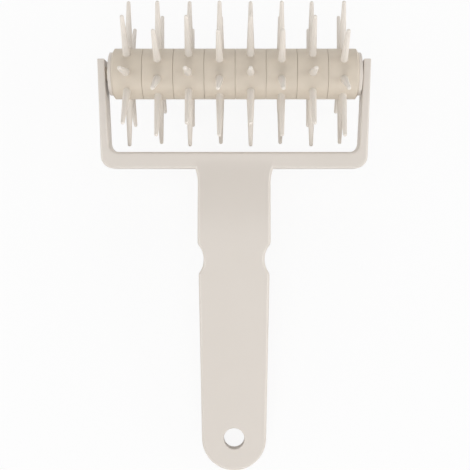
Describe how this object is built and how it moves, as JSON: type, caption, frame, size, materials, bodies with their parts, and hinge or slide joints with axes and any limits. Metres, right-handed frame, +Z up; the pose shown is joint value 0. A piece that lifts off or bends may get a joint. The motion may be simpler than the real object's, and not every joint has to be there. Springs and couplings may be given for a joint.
{
  "type": "dough docker",
  "caption": "Moulded plastic dough docker: a roller of rings with blunt tapered spikes turns in the yoke of a flat handle with finger notches and a hanging hole.",
  "frame": {"origin": "on the table, under the middle of the tool's outer box, with the tool lying on two rows of spike tips and on its handle's end", "axes": "+X along the roller to the right, +Y from the handle's end towards the roller, +Z up"},
  "size_m": [0.1202, 0.2028, 0.062],
  "materials": {
    "handle_plastic": "smooth ivory moulded plastic",
    "roller_plastic": "smooth ivory moulded plastic, a little yellower"
  },
  "bodies": {
    "handle": {"handle_frame": "handle_plastic"},
    "roller": {"axle": "roller_plastic", "spiked_ring_1": "roller_plastic", "spiked_ring_2": "roller_plastic", "spiked_ring_3": "roller_plastic", "spiked_ring_4": "roller_plastic", "spiked_ring_5": "roller_plastic", "spiked_ring_6": "roller_plastic", "spiked_ring_7": "roller_plastic", "spiked_ring_8": "roller_plastic", "end_cap_left": "handle_plastic", "end_cap_right": "handle_plastic"}
  },
  "joints": [
    {"name": "roller_spin", "type": "hinge", "parent": "handle", "child": "roller", "pos_m": [0.00045, 0.07035, 0.03101], "axis": [1, 0, 0], "continuous": true}
  ]
}
